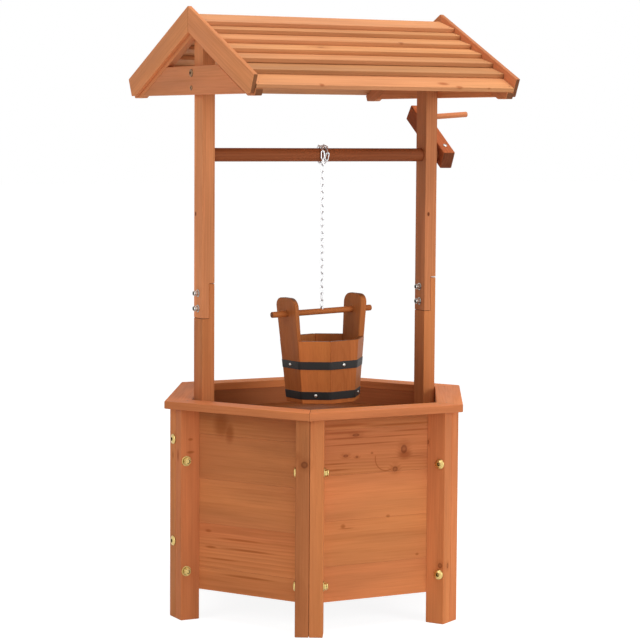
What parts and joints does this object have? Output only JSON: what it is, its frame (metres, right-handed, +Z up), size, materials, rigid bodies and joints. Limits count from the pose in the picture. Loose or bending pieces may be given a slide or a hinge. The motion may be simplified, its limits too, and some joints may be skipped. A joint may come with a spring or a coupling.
{
  "type": "wishing well planter",
  "caption": "Hexagonal timber planter box on legs with a gabled roof on two uprights and a crank windlass that lifts a small bucket on a chain.",
  "frame": {"origin": "middle of the hexagonal planter box, on the floor that its six legs stand on", "axes": "+Z up, +X towards the crank along the windlass shaft, +Y towards the back, so the two uprights stand on the X axis"},
  "size_m": [0.7066, 0.559, 1.141],
  "materials": {
    "frame_timber": "stained pine, satin",
    "board_timber": "stained pine boards, satin",
    "roof_timber": "stained pine slats, satin",
    "bucket_timber": "stained pine, satin",
    "zinc_yellow_steel": "yellow zinc plate",
    "bright_zinc_steel": "bright zinc plate",
    "chain_steel": "bright zinc plate",
    "black_band": "black paint, satin"
  },
  "bodies": {
    "frame": {"bargeboard_left_back": "frame_timber", "bargeboard_left_front": "frame_timber", "bargeboard_right_back": "frame_timber", "bargeboard_right_front": "frame_timber", "deck_bearer": "board_timber", "deck_boards": "board_timber", "deck_cleats": "board_timber", "lap_bolts": "bright_zinc_steel", "lap_nuts": "bright_zinc_steel", "lap_washers": "bright_zinc_steel", "leg_1": "frame_timber", "leg_2": "frame_timber", "leg_3": "frame_timber", "leg_4": "frame_timber", "leg_5": "frame_timber", "leg_6": "frame_timber", "leg_bolts": "zinc_yellow_steel", "lower_upright_left": "frame_timber", "lower_upright_right": "frame_timber", "nails": "bright_zinc_steel", "planter_nuts": "zinc_yellow_steel", "rafter_left_back": "frame_timber", "rafter_left_front": "frame_timber", "rafter_right_back": "frame_timber", "rafter_right_front": "frame_timber", "rim_board_1": "frame_timber", "rim_board_2": "frame_timber", "rim_board_3": "frame_timber", "rim_board_4": "frame_timber", "rim_board_5": "frame_timber", "rim_board_6": "frame_timber", "roof_slats_back": "roof_timber", "roof_slats_front": "roof_timber", "side_panel_1": "board_timber", "side_panel_2": "board_timber", "side_panel_3": "board_timber", "side_panel_4": "board_timber", "side_panel_5": "board_timber", "side_panel_6": "board_timber", "tie_bolts": "bright_zinc_steel", "tie_left": "frame_timber", "tie_right": "frame_timber", "tie_screws": "bright_zinc_steel", "upper_upright_left": "frame_timber", "upper_upright_right": "frame_timber", "upright_bolts": "zinc_yellow_steel"},
    "windlass": {"windlass_shaft": "frame_timber", "crank_arm": "frame_timber", "crank_peg": "bucket_timber", "crank_screw": "bright_zinc_steel", "windlass_chain": "chain_steel"},
    "hanger": {"bucket_rod": "bucket_timber", "chain_staple": "chain_steel", "bucket_chain": "chain_steel"},
    "bucket": {"bucket_handle_left": "bucket_timber", "bucket_handle_right": "bucket_timber", "bucket_staves": "bucket_timber", "bucket_bottom": "bucket_timber", "bucket_hoops": "black_band", "hoop_rivets": "bright_zinc_steel"}
  },
  "joints": [
    {"name": "windlass_turn", "type": "hinge", "parent": "frame", "child": "windlass", "pos_m": [0, 0, 0.8675], "axis": [-1, 0, 0], "range_deg": [-6, 262]},
    {"name": "bucket_lift", "type": "slide", "parent": "frame", "child": "hanger", "axis": [0, 0, 1], "range_m": [-0.0017, 0.0732], "deforming": ["bucket_chain"]},
    {"name": "bucket_tip", "type": "hinge", "parent": "hanger", "child": "bucket", "pos_m": [0.001, -0.016, 0.5696], "axis": [0.9942, 0.1045, 0.0244], "range_deg": [-100, 100]}
  ],
  "couplings": [
    {"joint": "bucket_lift", "follows": "windlass_turn", "m_per_rad": 0.016}
  ]
}
